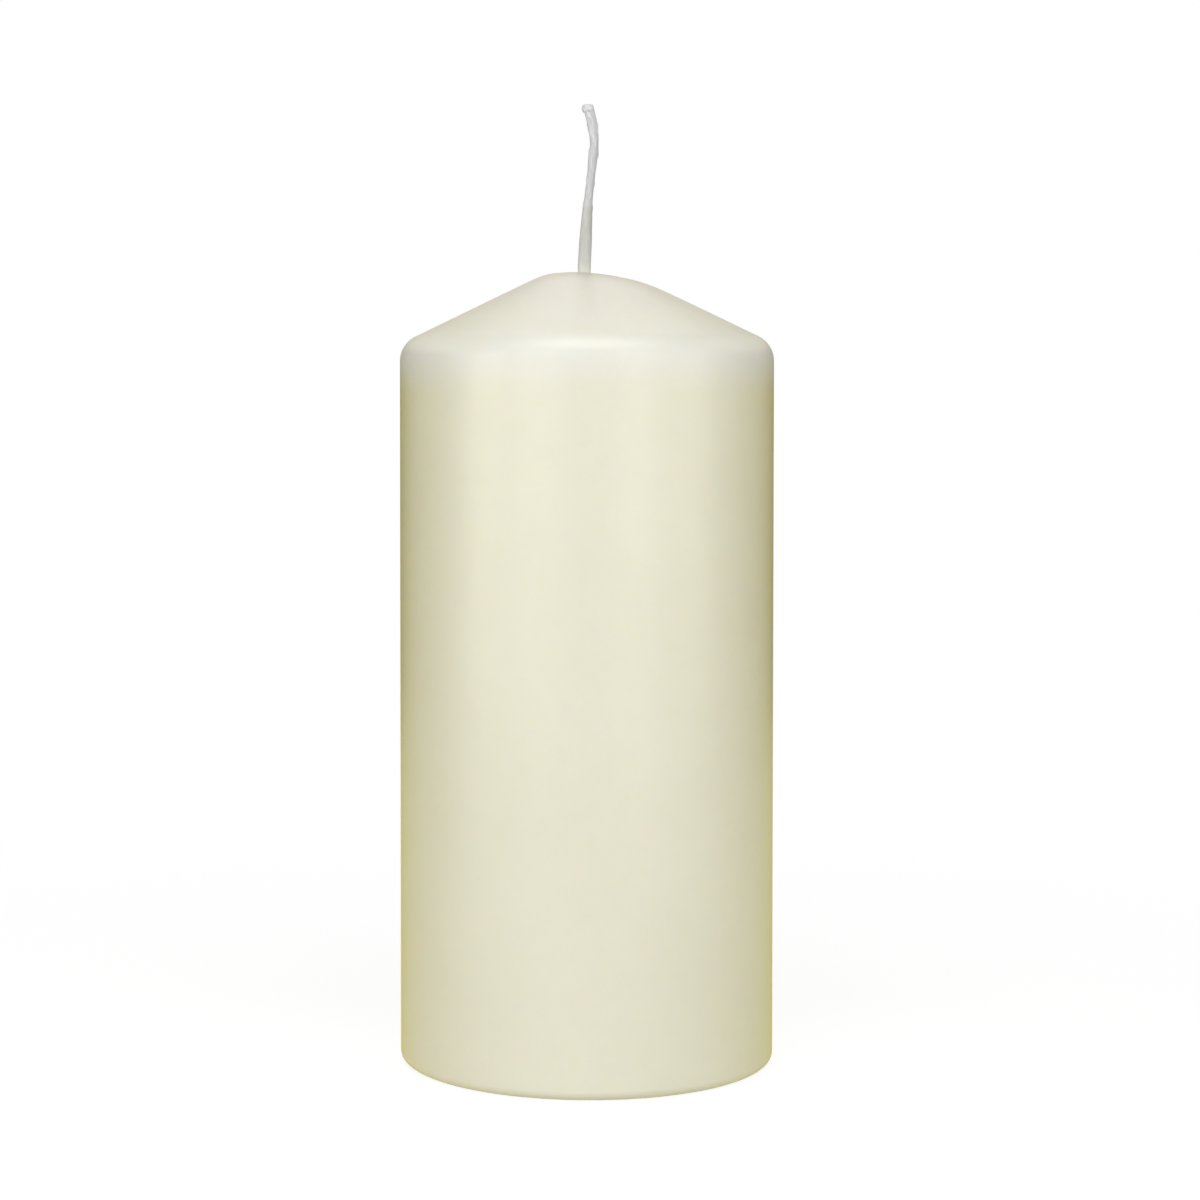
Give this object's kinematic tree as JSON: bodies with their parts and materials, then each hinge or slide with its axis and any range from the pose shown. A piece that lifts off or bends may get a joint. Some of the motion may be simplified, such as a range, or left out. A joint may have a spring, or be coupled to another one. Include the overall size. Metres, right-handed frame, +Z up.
{
  "type": "pillar candle",
  "caption": "Ivory pillar candle with a straight round wall, a low cone-shaped top and a free plaited wick; it stands on a flat rim round a shallow recess.",
  "frame": {"origin": "centre of the underside, in the plane that the candle stands on", "axes": "+Z up along the candle's axis, -Y towards the viewer of the picture, +X to that viewer's right"},
  "size_m": [0.07, 0.07, 0.1794],
  "materials": {
    "ivory_wax": null,
    "waxed_cotton": "white flat-plaited cotton, primed with wax",
    "tinplate": "thin stamped steel with a satin tin coat"
  },
  "bodies": {
    "root": {"wax_body": "ivory_wax", "wick": "waxed_cotton", "wick_clip": "tinplate"}
  },
  "joints": []
}
